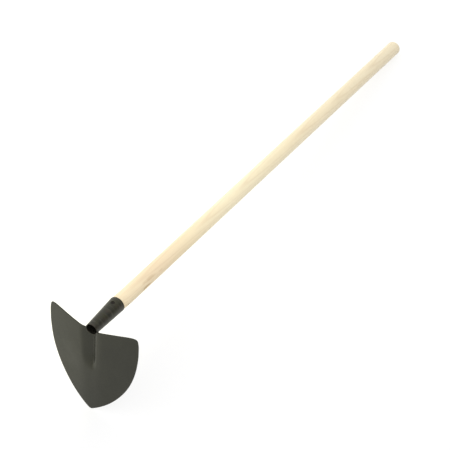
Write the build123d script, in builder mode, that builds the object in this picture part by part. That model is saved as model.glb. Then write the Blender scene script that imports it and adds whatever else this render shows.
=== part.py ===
from build123d import *
import math
import os

os.makedirs("parts", exist_ok=True)

# ---------------------------------------------------------------------------
# Heart-shaped garden hoe: pressed steel blade, tapered steel socket welded to
# it, round wooden handle driven into the socket and held by one wood screw.
#
# Frame: +Z up, millimetres. The hoe stands on the tip of its blade and on the
# free end of its handle, which is how it rests on the ground when held
# upright. +Y runs from the blade towards the free end of the handle, X is
# across the blade, and the origin is the bottom centre of the whole object.
#
# The head is drawn in a tool frame: its origin is the centre of the socket's
# open mouth, z runs up the handle, x is across the blade and y is the way the
# blade hangs.
# ---------------------------------------------------------------------------

# Resting attitude
rest_slope = 8.97547          # degrees, handle falls towards its free end
mouth_x = 0.555               # place of the socket mouth in the part's frame
mouth_y = -544.707
mouth_z = 188.130

# Handle
handle_dia = 28.0
handle_top = 1120.0           # free end, measured from the socket mouth
handle_bottom = 24.0          # lower end, inside the socket
handle_end_round = 3.0
handle_bottom_chamfer = 1.5
handle_swell_start = 92.0     # full diameter from here on

# Socket: welded on a little out of true with the handle
socket_length = 79.8
socket_mouth_r = 11.12        # outer radius at the blade
socket_rim_r = 14.67          # outer radius at the handle
socket_wall = 1.2
socket_mouth_x = 1.15         # its axis is this far aside at the mouth
socket_tilt = 0.0243          # and crosses over by this much per mm
mouth_bevel = 0.65            # the small end is bevelled inside
mouth_bevel_depth = 1.1

# Blade
sheet = 2.0                   # thickness
blade_lean = 0.0664           # offset towards the handle per mm of depth
band_offset = -0.85           # outer face at the level of the mouth centre
blade_turn = 0.0055           # its outline is turned this much about the socket,
blade_shift = -0.5            # and moved aside

# Channel pressed down the middle: slopes of its cross-section towards the
# handle, by distance across. A long gentle flank on the left, a tight bottom
# right of the middle, a steep flank with a crisp lip on the right.
channel_slopes = [
    (-22.0, 0.0), (-18.0, 0.16), (-14.0, 0.33), (-9.0, 0.38), (-3.0, 0.38), (0.0, 0.37), (1.0, 0.24),
    (1.7, 0.0), (2.3, -0.45), (2.9, -0.85), (3.6, -1.0), (5.4, -1.0), (6.4, -0.85), (7.6, -0.62),
    (8.7, -0.50), (9.8, -0.38), (10.7, -0.22), (11.5, -0.10), (12.6, -0.03), (15.0, 0.0),
]
channel_fade_start = 58.0     # it runs out between these depths
channel_fade_end = 100.0
channel_narrowing = 0.003

# The wings are swept back towards the handle: slopes by distance from the
# middle, for the upper and lower blade, left (-1) and right (1).
wing_upper = {
    -1: [(15.0, 0.0), (20.0, 0.05), (25.0, 0.09), (35.0, 0.125), (50.0, 0.155), (70.0, 0.18), (100.0, 0.205)],
    1: [(15.0, 0.0), (20.0, 0.10), (25.0, 0.13), (35.0, 0.143), (50.0, 0.15), (70.0, 0.155), (100.0, 0.155)],
}
wing_lower = {
    -1: [(5.0, 0.0), (12.0, 0.045), (20.0, 0.115), (26.0, 0.145), (40.0, 0.15), (60.0, 0.152), (100.0, 0.155)],
    1: [(8.0, 0.0), (14.0, 0.05), (20.0, 0.105), (28.0, 0.135), (40.0, 0.145), (60.0, 0.15), (100.0, 0.15)],
}
wing_blend_start = 50.0       # depth where the upper wings begin to change into the lower ones
wing_blend_end = 116.0

# Weld
weld_r = 2.1
weld_out = 0.55

# Wood screw, 4 x 20 with a countersunk head
screw_z = 64.4
screw_head_top = 13.20        # distance of the head's face from the socket's axis, 0.8 mm below its surface
screw_head_r = 2.85
screw_seat_r = 3.6           # the hole in the socket is a little wider than the head
screw_head_edge = 0.3
screw_shank_r = 2.0
screw_point_start = -2.0
screw_point_end = -6.5

# ---------------------------------------------------------------------------
# Directions and planes of the tool frame
# ---------------------------------------------------------------------------
rs = math.sin(math.radians(rest_slope))
rc = math.cos(math.radians(rest_slope))
across = Vector(1, 0, 0)
hang = Vector(0, -rs, -rc)
along = Vector(0, rc, -rs)
mouth = Vector(mouth_x, mouth_y, mouth_z)


def at(x, y, z):
    """A point of the tool frame, in the part's frame."""
    return mouth + across * x + hang * y + along * z


tool = Plane(origin=mouth, x_dir=across, z_dir=along)          # x across, y hanging
handle_axis = Axis(mouth, along)

socket_slope = (socket_rim_r - socket_mouth_r) / socket_length
bore_mouth_r = socket_mouth_r - socket_wall
bore_rim_r = socket_rim_r - socket_wall


def bore_r(z):
    return bore_mouth_r + socket_slope * z


# Half plane through the handle's axis: local x is the radius (upwards, away
# from the blade), local y runs along the handle.
radial = Plane(origin=mouth, x_dir=hang * -1, z_dir=(hang * -1).cross(along))

# The socket's own axis, and the half plane through it
tube_start = at(socket_mouth_x, 0, 0)
tube_dir = (along - across * socket_tilt).normalized()
tube_axis = Axis(tube_start, tube_dir)
tube_half = Plane(origin=tube_start, x_dir=hang * -1, z_dir=(hang * -1).cross(tube_dir))

# Plane of the blade's outer face, which the socket's mouth lies in
mouth_plane = Plane(
    origin=at(socket_mouth_x - socket_tilt * band_offset, 0, band_offset),
    x_dir=across,
    z_dir=(along - hang * blade_lean).normalized(),
)

# The screw goes in from the side of the socket that faces away from the blade.
screw_origin = tube_start + tube_dir * screw_z
screw_axis = Axis(screw_origin, hang * -1)
screw_half = Plane(origin=screw_origin, x_dir=across, z_dir=across.cross(hang * -1))

# ---------------------------------------------------------------------------
# Socket: a tapered tube, small end open at the blade
# ---------------------------------------------------------------------------
with BuildPart() as socket:
    with BuildSketch(tube_half):
        with BuildLine():
            Polyline(
                (bore_r(-4), -4),
                (socket_mouth_r - 4 * socket_slope, -4),
                (socket_rim_r, socket_length),
                (bore_rim_r, socket_length),
                close=True,
            )
        make_face()
    revolve(axis=tube_axis)
    # the mouth is ground flush with the blade's face, so it leans with it
    with BuildSketch(mouth_plane):
        Circle(30)
    extrude(amount=-10, mode=Mode.SUBTRACT)
    # bevel inside the mouth
    mouth_face = socket.faces().sort_by(handle_axis)[0]
    chamfer(mouth_face.inner_wires()[0].edges(), mouth_bevel, mouth_bevel_depth, reference=mouth_face)
    # hole for the screw head, countersunk below it
    with BuildSketch(screw_half):
        with BuildLine():
            Polyline(
                (0, 5),
                (screw_shank_r, 5),
                (screw_shank_r, screw_head_top - screw_head_edge - (screw_seat_r - screw_shank_r)),
                (screw_seat_r, screw_head_top - screw_head_edge),
                (screw_seat_r, 20),
                (0, 20),
                close=True,
            )
        make_face()
    revolve(axis=screw_axis, mode=Mode.SUBTRACT)

socket.part.label = "socket"
export_step(socket.part, "parts/socket.step")

# ---------------------------------------------------------------------------
# Blade: pressed sheet, outline trimmed
# ---------------------------------------------------------------------------
lean = math.hypot(1.0, blade_lean)
down = (hang + along * blade_lean) * (1.0 / lean)               # down the blade
back = (along - hang * blade_lean) * (1.0 / lean)               # towards the handle


def smooth(t):
    t = min(max(t, 0.0), 1.0)
    return t * t * (3 - 2 * t)


# The channel's cross-section, summed from its slopes in small steps. The
# right-hand flank is scaled so that the section closes.
channel_step = 0.05
channel_x0 = channel_slopes[0][0]


def channel_table():
    xs = [x for x, _ in channel_slopes]
    count = round((xs[-1] - xs[0]) / channel_step)
    slopes = []
    for i in range(count + 1):
        x = xs[0] + i * channel_step
        k = max(j for j in range(len(xs) - 1) if xs[j] <= x + 1e-9)
        t = (x - xs[k]) / (xs[k + 1] - xs[k])
        t = 0.5 * (smooth(t) + t)
        slopes.append(channel_slopes[k][1] * (1 - t) + channel_slopes[k + 1][1] * t)
    falling = sum(v for v in slopes if v > 0)
    rising = -sum(v for v in slopes if v < 0)
    slopes = [v if v > 0 else v * falling / rising for v in slopes]
    heights = [0.0]
    for a, b in zip(slopes, slopes[1:]):
        heights.append(heights[-1] + 0.5 * (a + b) * channel_step)
    drift = heights[-1] / count
    return [v - drift * i for i, v in enumerate(heights)]


channel_heights = channel_table()


def channel(u, s):
    narrow = 1 + channel_narrowing * (41.0 - min(max(s, 8.0), 72.0))
    t = (u / narrow - channel_x0) / channel_step
    i = math.floor(t)
    if i < 0 or i >= len(channel_heights) - 1:
        return 0.0
    h = channel_heights[i] + (channel_heights[i + 1] - channel_heights[i]) * (t - i)
    t = min(max((s - channel_fade_start) / (channel_fade_end - channel_fade_start), 0.0), 1.0)
    return h * (1 - t * t * t * (t * (6 * t - 15) + 10))


def rise(slopes, a):
    total = 0.0
    for (x0, m0), (x1, m1) in zip(slopes, slopes[1:]):
        if a <= x0:
            break
        x = min(a, x1)
        m = m0 + (m1 - m0) * (x - x0) / (x1 - x0)
        total += 0.5 * (m0 + m) * (x - x0)
    return total


def height(u, s):
    """Outer face of the sheet: how far towards the handle it lies, at a
    distance u across and s down the blade."""
    t = smooth((s - wing_blend_start) / (wing_blend_end - wing_blend_start))
    side = 1 if u > 0 else -1
    return rise(wing_upper[side], abs(u)) * (1 - t) + rise(wing_lower[side], abs(u)) * t + channel(u, s)


across_at = [-100, -84, -68, -54, -42, -34, -28, -25, -22, -20, -18, -16, -14, -12, -10, -8, -6, -4, -2, -1, 0]
across_at += [0.6, 1.2, 1.7, 2.2, 2.7, 3.3, 4, 5, 6, 6.8, 7.6, 8.5, 9.5, 10.5, 11.5, 12.5, 13.5, 15, 17, 19, 22, 25, 30]
across_at += [38, 50, 64, 80, 100]
down_at = [-36, -12, 12, 34, 50, 58, 64, 70, 76, 82, 88, 94, 100, 106, 116, 132, 160, 190, 216]
spread = [(u - across_at[0]) / (across_at[-1] - across_at[0]) for u in across_at]


def section(s):
    """Points of the outer and of the inner face, at one depth."""
    outer = [(u, height(u, s)) for u in across_at]
    fine = [-104 + 0.25 * i for i in range(833)]
    moved = []
    for u in fine:
        slope = (height(u + 0.05, s) - height(u - 0.05, s)) / 0.1
        n = math.hypot(1.0, slope)
        moved.append((u - sheet * slope / n, height(u, s) + sheet / n))
    inner = []
    for u in across_at:
        # the point farthest out, where the offset line folds over itself
        spots = [
            p[1] + (q[1] - p[1]) * (u - p[0]) / (q[0] - p[0])
            for p, q in zip(moved, moved[1:])
            if p[0] <= u < q[0]
        ]
        inner.append((u, max(spots) if len(spots) == 1 else min(spots)))
    return outer, inner


# Half outline of the blade, in the tool frame (x across, y hanging)
top_inner = (0.0, 4.66)
top_outer = (70.0, -11.38)
corner_points = [(75.88, -12.29), (80.02, -12.5), (83.5, -12.1), (86.01, -10.43), (87.4, -7.8), (88.14, -4.14)]
side_points = [
    (88.8, 0.94), (89.08, 11.99), (88.95, 24.04), (87.75, 40.08), (85.04, 60.13), (80.61, 80.26),
    (74.02, 100.41), (64.72, 120.5), (52.23, 140.53), (35.73, 160.68), (19.33, 175.49), (7.13, 184.86),
]
tip_point = (4.27, 186.93)
tip_direction = (-0.8, 0.6)
side_start = (0.10, 1.0)
blade_depth = 188.35          # tip, below the centre of the socket mouth

turned_across = (across + hang * blade_turn).normalized()
outline_plane = Plane(origin=at(blade_shift, 0, -40), x_dir=turned_across, z_dir=along)

with BuildPart() as blade:
    # the pressed sheet, lofted through its cross-sections
    for s in down_at:
        outer, inner = section(s)
        with BuildSketch(Plane(origin=at(0, 0, band_offset) + down * s, x_dir=across, z_dir=down * -1)):
            with BuildLine():
                add(Edge.make_spline([Vector(*p) for p in outer], parameters=spread))
                Line(outer[-1], inner[-1])
                add(Edge.make_spline([Vector(*p) for p in reversed(inner)], parameters=[1 - v for v in reversed(spread)]))
                Line(inner[0], outer[0])
            make_face()
    loft()
    # outline
    with BuildSketch(outline_plane) as outline:
        with BuildLine():
            top = Line(top_inner, top_outer)
            corner = Spline(top_outer, *corner_points, side_points[0], tangents=(top % 1, side_start))
            side = Spline(*side_points, tip_point, tangents=(side_start, tip_direction))
            ThreePointArc(tip_point, (0, blade_depth), (-tip_point[0], tip_point[1]))
            mirror(top, about=Plane.YZ)
            mirror(corner, about=Plane.YZ)
            mirror(side, about=Plane.YZ)
        make_face()
    extrude(amount=90, mode=Mode.INTERSECT)
    # seat for the socket
    with BuildSketch(tube_half):
        with BuildLine():
            Polyline(
                (0, -30),
                (socket_mouth_r - 30 * socket_slope, -30),
                (socket_mouth_r + 60 * socket_slope, 60),
                (0, 60),
                close=True,
            )
        make_face()
    revolve(axis=tube_axis, mode=Mode.SUBTRACT)

blade.part.label = "blade"
export_step(blade.part, "parts/blade.step")

# ---------------------------------------------------------------------------
# Weld: one bead in the corner behind the blade, around the lower half of the
# socket; its ends turn forwards over the blade's top edge
# ---------------------------------------------------------------------------
def sheet_depth(x, y, over):
    """z of the outer face at (x, y), or of the inner face when over is the
    thickness."""
    s = y * lean
    for _ in range(8):
        e = 0.05
        hu = (height(x + e, s) - height(x - e, s)) / (2 * e)
        h = height(x, s) + over * math.hypot(1.0, hu)
        s = y * lean + h * blade_lean
    return band_offset + (s * blade_lean + h) / lean


def weld_point(angle, over, lift):
    """A point of the bead's centre line: angle in degrees round the socket,
    from +x towards +y, at the outer or inner face, and raised from it."""
    ca = math.cos(math.radians(angle))
    sa = math.sin(math.radians(angle))
    z = 5.0
    for _ in range(12):
        r = socket_mouth_r + socket_slope * z
        cx = socket_mouth_x - socket_tilt * z
        z = sheet_depth(cx + r * ca, r * sa, over)
    return at(cx + (r + weld_out) * ca, (r + weld_out) * sa, z + lift)


weld_spots = [weld_point(4.0, 0.0, 1.2), weld_point(6.0, sheet, -0.2), weld_point(13.0, sheet, 0.45)]
weld_spots += [weld_point(24.0 + 132.0 * i / 11, sheet, weld_out) for i in range(12)]
weld_spots += [weld_point(167.0, sheet, 0.45), weld_point(174.0, sheet, -0.2), weld_point(176.0, 0.0, 1.2)]

with BuildPart() as weld:
    with BuildLine() as weld_path:
        Spline(*weld_spots)
    with BuildSketch(Plane(origin=weld_path.line @ 0, z_dir=weld_path.line % 0)):
        Circle(weld_r)
    sweep()
    with Locations(weld_path.line @ 0, weld_path.line @ 1):
        Sphere(weld_r)
    with BuildSketch(tube_half):
        with BuildLine():
            Polyline(
                (0, -10),
                (socket_mouth_r - 10 * socket_slope, -10),
                (socket_mouth_r + 40 * socket_slope, 40),
                (0, 40),
                close=True,
            )
        make_face()
    revolve(axis=tube_axis, mode=Mode.SUBTRACT)
    add(blade.part, mode=Mode.SUBTRACT)

weld.part.label = "weld_bead"
export_step(weld.part, "parts/weld_bead.step")

# ---------------------------------------------------------------------------
# Wood screw: countersunk head with a cross recess, plain tapered body
# ---------------------------------------------------------------------------
head_cone = screw_head_top - screw_head_edge
neck = head_cone - (screw_head_r - screw_shank_r)
screw_profile = [
    (0, screw_point_end),
    (screw_shank_r, screw_point_start),
    (screw_shank_r, neck),
    (screw_head_r, head_cone),
]

with BuildPart() as screw:
    with BuildSketch(screw_half):
        with BuildLine():
            Polyline(*screw_profile, (screw_head_r, screw_head_top), (0, screw_head_top), close=True)
        make_face()
    revolve(axis=screw_axis)
    # cross recess
    with BuildSketch(Plane(origin=screw_origin - hang * screw_head_top, x_dir=across, z_dir=hang * -1)):
        Rectangle(3.4, 0.8)
        Rectangle(0.8, 3.4)
    extrude(amount=-1.4, taper=12, mode=Mode.SUBTRACT)

screw.part.label = "fixing_screw"
export_step(screw.part, "parts/fixing_screw.step")

# ---------------------------------------------------------------------------
# Handle: straight round stick. Its lower end is tapered to sit in the socket
# and follows the socket's axis.
# ---------------------------------------------------------------------------
handle_r = handle_dia / 2
low = handle_bottom
seat_top = tube_start + tube_dir * socket_length
with BuildPart() as handle:
    with BuildSketch(radial):
        with BuildLine():
            Line((0, handle_swell_start), (handle_r, handle_swell_start))
            Line((handle_r, handle_swell_start), (handle_r, handle_top - handle_end_round))
            RadiusArc(
                (handle_r, handle_top - handle_end_round),
                (handle_r - handle_end_round, handle_top),
                -handle_end_round,
            )
            Line((handle_r - handle_end_round, handle_top), (0, handle_top))
            Line((0, handle_top), (0, handle_swell_start))
        make_face()
    revolve(axis=handle_axis)
    # from the socket's rim to the full diameter
    with BuildSketch(Plane(origin=seat_top, x_dir=hang * -1, z_dir=tube_dir)):
        Circle(bore_rim_r)
    with BuildSketch(Plane(origin=at(0, 0, handle_swell_start), x_dir=hang * -1, z_dir=along)):
        Circle(handle_r)
    loft()
    # the tapered end
    with BuildSketch(tube_half):
        with BuildLine():
            Polyline(
                (0, low),
                (bore_r(low) - handle_bottom_chamfer, low),
                (bore_r(low + handle_bottom_chamfer), low + handle_bottom_chamfer),
                (bore_rim_r, socket_length),
                (0, socket_length),
                close=True,
            )
        make_face()
    revolve(axis=tube_axis)
    # the hole that the screw has cut
    with BuildSketch(screw_half):
        with BuildLine():
            Polyline(*screw_profile, (screw_head_r, 30), (0, 30), close=True)
        make_face()
    revolve(axis=screw_axis, mode=Mode.SUBTRACT)

handle.part.label = "handle"
export_step(handle.part, "parts/handle.step")
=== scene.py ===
import bpy
import bmesh
import math
from mathutils import Vector, Matrix, kdtree


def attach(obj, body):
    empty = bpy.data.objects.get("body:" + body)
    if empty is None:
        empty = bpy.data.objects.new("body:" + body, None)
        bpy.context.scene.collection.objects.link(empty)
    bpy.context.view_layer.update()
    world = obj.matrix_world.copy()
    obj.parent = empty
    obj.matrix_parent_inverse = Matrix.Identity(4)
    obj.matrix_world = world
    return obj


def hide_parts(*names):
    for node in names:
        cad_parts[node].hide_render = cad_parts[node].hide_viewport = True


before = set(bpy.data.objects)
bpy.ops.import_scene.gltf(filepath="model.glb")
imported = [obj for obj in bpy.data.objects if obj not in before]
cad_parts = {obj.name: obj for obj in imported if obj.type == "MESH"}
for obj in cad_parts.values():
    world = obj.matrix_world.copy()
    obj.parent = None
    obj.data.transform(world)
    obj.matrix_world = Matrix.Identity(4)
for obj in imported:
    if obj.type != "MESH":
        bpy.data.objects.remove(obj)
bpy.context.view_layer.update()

scene = bpy.context.scene
MM = 0.001

# ---------------------------------------------------------------------------
# Tool frame, in millimetres: origin at the centre of the socket's open mouth,
# x across the blade, y the way the blade hangs, z up the handle.
# ---------------------------------------------------------------------------
SLOPE = math.radians(8.97547)
RS, RC = math.sin(SLOPE), math.cos(SLOPE)
ACROSS = Vector((1.0, 0.0, 0.0))
HANG = Vector((0.0, -RS, -RC))
ALONG = Vector((0.0, RC, -RS))
MOUTH = Vector((0.555, -544.707, 188.130)) * MM


def at(x, y, z):
    return MOUTH + (ACROSS * x + HANG * y + ALONG * z) * MM


def turned(x, y, z):
    return ACROSS * x + HANG * y + ALONG * z


# The socket is welded on a little out of true: its own axis starts aside of
# the handle's at the mouth and crosses over.
TUBE_X, TILT = 1.15, 0.0243
TUBE_N = math.hypot(1.0, TILT)


def tube_at(x, y, z):
    """A point given along and around the socket's own axis."""
    return at(TUBE_X + (x - TILT * z) / TUBE_N, y, (z + TILT * x) / TUBE_N)


def in_tube(p):
    """Distance from the socket's axis, and along it, of a point in metres."""
    q = (p - MOUTH) / MM
    x, y, z = q.dot(ACROSS) - TUBE_X, q.dot(HANG), q.dot(ALONG)
    return math.hypot((x + TILT * z) / TUBE_N, y), (z - TILT * x) / TUBE_N


# ---------------------------------------------------------------------------
# Camera
# ---------------------------------------------------------------------------
cam_data = bpy.data.cameras.new("camera")
cam = bpy.data.objects.new("camera", cam_data)
scene.collection.objects.link(cam)
look = turned(-0.3731, 0.6013, 0.7066).normalized()
up = turned(-0.3623, -0.7955, 0.4857)
right = look.cross(up).normalized()
up = right.cross(look).normalized()
pose = Matrix((right, up, -look)).transposed().to_4x4()
pose.translation = at(1304.7588, -2051.0745, -2029.1152)
cam.matrix_world = pose
cam_data.sensor_width = 36.0
cam_data.lens = 1890.4332 / 450 * 36
cam_data.clip_start = 0.1
cam_data.clip_end = 60.0
scene.camera = cam

# ---------------------------------------------------------------------------
# Small helpers
# ---------------------------------------------------------------------------


def mesh_piece(name, points, faces, material, attributes=None, node=None):
    """A smooth piece from points in metres, in the row frame."""
    me = bpy.data.meshes.new(name)
    me.from_pydata([tuple(p) for p in points], [], faces)
    me.validate(clean_customdata=False)
    bm = bmesh.new()
    bm.from_mesh(me)
    bmesh.ops.recalc_face_normals(bm, faces=bm.faces)
    for f in bm.faces:
        f.smooth = True
    bm.to_mesh(me)
    bm.free()
    for key, values in (attributes or {}).items():
        layer = me.attributes.new(key, "FLOAT", "POINT")
        layer.data.foreach_set("value", values)
    ob = bpy.data.objects.new(name, me)
    scene.collection.objects.link(ob)
    me.materials.append(material)
    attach(ob, "root")
    if node:
        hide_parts(node)
    return ob


class Grid:
    """Vertices shared by place, so that patches join without gaps."""

    def __init__(self):
        self.points = []
        self.faces = []

    def add(self, p):
        self.points.append(p)
        return len(self.points) - 1

    def quad(self, a, b, c, d):
        ring = []
        for v in (a, b, c, d):
            if v not in ring:
                ring.append(v)
        if len(ring) > 2:
            self.faces.append(tuple(ring))

    def strip(self, one, two, closed=True):
        n = len(one)
        for k in range(n if closed else n - 1):
            self.quad(one[k], one[(k + 1) % n], two[(k + 1) % n], two[k])


def clamped_spline(points, first, last, per=24):
    """C2 cubic through the points, by chord length, with the end directions."""
    n = len(points)
    t = [0.0]
    for a, b in zip(points, points[1:]):
        t.append(t[-1] + math.dist(a, b))
    out = []
    slopes = []
    for axis in (0, 1):
        y = [p[axis] for p in points]
        lo, di, up_, rhs = [0.0] * n, [1.0] * n, [0.0] * n, [0.0] * n
        rhs[0], rhs[-1] = first[axis], last[axis]
        for i in range(1, n - 1):
            h0, h1 = t[i] - t[i - 1], t[i + 1] - t[i]
            lo[i], di[i], up_[i] = h1, 2 * (h0 + h1), h0
            rhs[i] = 3 * (h1 * (y[i] - y[i - 1]) / h0 + h0 * (y[i + 1] - y[i]) / h1)
        for i in range(1, n):
            w = lo[i] / di[i - 1]
            di[i] -= w * up_[i - 1]
            rhs[i] -= w * rhs[i - 1]
        m = [0.0] * n
        m[-1] = rhs[-1] / di[-1]
        for i in range(n - 2, -1, -1):
            m[i] = (rhs[i] - up_[i] * m[i + 1]) / di[i]
        slopes.append(m)
    for i in range(n - 1):
        h = t[i + 1] - t[i]
        for k in range(per):
            s = k / per
            a, b = 2 * s**3 - 3 * s**2 + 1, s**3 - 2 * s**2 + s
            c, d = -2 * s**3 + 3 * s**2, s**3 - s**2
            out.append(
                tuple(
                    a * points[i][x] + b * h * slopes[x][i] + c * points[i + 1][x] + d * h * slopes[x][i + 1]
                    for x in (0, 1)
                )
            )
    out.append(points[-1])
    return out


class Curve:
    """A polyline by length."""

    def __init__(self, pts):
        self.p = pts
        self.s = [0.0]
        for a, b in zip(pts, pts[1:]):
            self.s.append(self.s[-1] + math.dist(a, b))
        self.length = self.s[-1]

    def __call__(self, s):
        s = min(max(s, 0.0), self.length)
        lo, hi = 0, len(self.s) - 1
        while hi - lo > 1:
            mid = (lo + hi) // 2
            if self.s[mid] <= s:
                lo = mid
            else:
                hi = mid
        w = (s - self.s[lo]) / max(self.s[hi] - self.s[lo], 1e-12)
        return tuple(a + (b - a) * w for a, b in zip(self.p[lo], self.p[hi]))


# ---------------------------------------------------------------------------
# Materials
# ---------------------------------------------------------------------------


class Nodes:
    """Short calls for building a node tree."""

    def __init__(self, name):
        self.mat = bpy.data.materials.new(name)
        self.mat.use_nodes = True
        self.tree = self.mat.node_tree
        self.bsdf = self.tree.nodes["Principled BSDF"]
        coord = self.tree.nodes.new("ShaderNodeTexCoord")
        turn = self.tree.nodes.new("ShaderNodeMapping")
        turn.inputs["Rotation"].default_value = (SLOPE, 0.0, 0.0)
        self.tree.links.new(coord.outputs["Object"], turn.inputs["Vector"])
        self.coord = turn.outputs["Vector"]      # y along the handle, x across

    def put(self, kind, **values):
        node = self.tree.nodes.new(kind)
        for key, value in values.items():
            self.put_in(node, key, value)
        return node

    def put_in(self, node, key, value):
        if hasattr(node, key) and not isinstance(value, bpy.types.NodeSocket):
            setattr(node, key, value)
            return
        key = int(key[1:]) if key[0] == "_" and key[1:].isdigit() else key.replace("_", " ")
        socket = node.inputs[key]
        if isinstance(value, bpy.types.NodeSocket):
            self.tree.links.new(value, socket)
        else:
            socket.default_value = value

    def stretched(self, scale, offset=(0, 0, 0)):
        return self.put("ShaderNodeMapping", Vector=self.coord, Scale=scale, Location=offset).outputs["Vector"]

    def noise(self, scale, detail=3.0, rough=0.55, vector=None, distortion=0.0):
        return self.put(
            "ShaderNodeTexNoise",
            Vector=vector or self.coord,
            Scale=scale,
            Detail=detail,
            Roughness=rough,
            Distortion=distortion,
        ).outputs["Fac"]

    def ramp(self, fac, *stops, smooth=False):
        node = self.put("ShaderNodeValToRGB", Fac=fac)
        r = node.color_ramp
        r.interpolation = "EASE" if smooth else "LINEAR"
        while len(r.elements) < len(stops):
            r.elements.new(0.5)
        for e, (at_, col) in zip(r.elements, stops):
            e.position = at_
            e.color = (col, col, col, 1) if isinstance(col, (int, float)) else (*col, 1)
        return node.outputs["Color"]

    def math(self, op, a, b=0.0, c=0.0, clamp=False):
        node = self.tree.nodes.new("ShaderNodeMath")
        node.operation = op
        node.use_clamp = clamp
        for i, v in enumerate((a, b, c)):
            if isinstance(v, bpy.types.NodeSocket):
                self.tree.links.new(v, node.inputs[i])
            else:
                node.inputs[i].default_value = v
        return node.outputs[0]

    def mix(self, fac, a, b, blend="MIX"):
        node = self.tree.nodes.new("ShaderNodeMix")
        node.data_type = "RGBA"
        node.blend_type = blend
        for key, v in (("Factor", fac), ("A", a), ("B", b)):
            sockets = [s for s in node.inputs if s.name == key and s.enabled]
            socket = sockets[0]
            if isinstance(v, bpy.types.NodeSocket):
                self.tree.links.new(v, socket)
            elif key == "Factor":
                socket.default_value = v
            else:
                socket.default_value = (*v, 1)
        return [s for s in node.outputs if s.enabled][0]

    def bump(self, height, distance, strength=1.0, normal=None):
        node = self.put("ShaderNodeBump", Height=height, Strength=strength, Distance=distance)
        if normal is not None:
            self.tree.links.new(normal, node.inputs["Normal"])
        return node.outputs["Normal"]

    def attribute(self, name):
        node = self.tree.nodes.new("ShaderNodeAttribute")
        node.attribute_name = name
        return node.outputs["Fac"]

    def set(self, key, value):
        socket = self.bsdf.inputs[key]
        if isinstance(value, bpy.types.NodeSocket):
            self.tree.links.new(value, socket)
        else:
            socket.default_value = value


PAINT_DARK = (0.0056, 0.0057, 0.0036)
PAINT_LIGHT = (0.0134, 0.0134, 0.0086)
PAINT_WORN = (0.050, 0.050, 0.044)


def paint(name, worn=True, dark=PAINT_DARK, light=PAINT_LIGHT, rough=0.40, peel=0.00005, level=0.40):
    n = Nodes(name)
    broad = n.noise(26.0, 3.0, 0.6)
    fine = n.noise(900.0, 2.0, 0.6)
    speck = n.noise(330.0, 2.0, 0.6)
    tone = n.math("MULTIPLY_ADD", fine, 0.25, n.math("MULTIPLY_ADD", speck, 0.40, n.math("MULTIPLY", broad, 0.35)))
    colour = n.mix(n.ramp(tone, (0.36, 0.0), (0.64, 1.0)), dark, light)
    # dust and handling marks, faint
    smear = n.ramp(n.noise(1.0, 4.0, 0.6, vector=n.stretched((70.0, 26.0, 34.0), (0.3, 0.1, 0.7))), (0.50, 0.0), (0.78, 1.0))
    colour = n.mix(n.math("MULTIPLY", smear, 0.16), colour, (0.030, 0.029, 0.023))
    if worn:
        # brown heat tint and scale where it was welded
        heat = n.attribute("heat")
        burnt = n.math("MULTIPLY", heat, n.ramp(n.noise(330.0, 3.0, 0.6), (0.30, 0.25), (0.66, 1.0)))
        colour = n.mix(n.math("MULTIPLY", burnt, 0.8), colour, (0.030, 0.021, 0.015))
        # paint rubbed through at the edges
        rub = n.noise(240.0, 4.0, 0.7)
        edge = n.math("MULTIPLY", n.attribute("rim"), n.ramp(rub, (0.42, 0.0), (0.66, 1.0)))
        colour = n.mix(n.math("MULTIPLY", edge, 0.45), colour, PAINT_WORN)
    n.set("Base Color", colour)
    n.set("Roughness", n.math("MULTIPLY_ADD", smear, 0.06, n.math("MULTIPLY_ADD", n.noise(60.0, 3.0, 0.6), 0.12, rough - 0.06)))
    n.set("IOR", 1.5)
    n.set("Specular IOR Level", level)
    n.set("Specular Tint", (1.0, 1.0, 0.82, 1.0))
    skin = n.noise(520.0, 2.0, 0.5)
    grit = n.noise(2100.0, 2.0, 0.5)
    height = n.math("MULTIPLY_ADD", grit, 0.35, skin)
    n.set("Normal", n.bump(height, peel))
    n.colour, n.height = colour, height
    return n


def socket_material():
    """The same paint over a turned, mottled tube: fine marks go round it."""
    n = paint("socket_paint", rough=0.41, dark=(0.0105, 0.0104, 0.0075), light=(0.0165, 0.0160, 0.0118), level=0.44)
    # y runs along the handle, so bands in y go round the tube
    lines = n.noise(1.0, 3.0, 0.7, vector=n.stretched((26.0, 820.0, 26.0)))
    coarse = n.noise(1.0, 2.0, 0.5, vector=n.stretched((18.0, 240.0, 18.0), (0.2, 0.5, 0.0)))
    marks = n.math("MULTIPLY_ADD", lines, 0.45, n.math("MULTIPLY", coarse, 0.55))
    colour = n.mix(n.ramp(marks, (0.34, 1.0), (0.52, 0.0)), n.colour, (0.0042, 0.0040, 0.0026))
    colour = n.mix(n.ramp(marks, (0.50, 0.0), (0.68, 1.0)), colour, (0.044, 0.041, 0.032))
    olive = n.ramp(n.noise(120.0, 3.0, 0.55), (0.46, 0.0), (0.64, 0.8))
    colour = n.mix(olive, colour, (0.0195, 0.0185, 0.0065))
    russet = n.ramp(n.noise(95.0, 3.0, 0.55, vector=n.stretched((1.0, 1.0, 1.0), (0.4, 0.8, 0.1))), (0.50, 0.0), (0.68, 0.8))
    colour = n.mix(russet, colour, (0.0270, 0.0185, 0.0140))
    n.set("Base Color", colour)
    n.set("Normal", n.bump(n.math("MULTIPLY_ADD", marks, 1.4, n.height), 0.00006))
    return n


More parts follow.
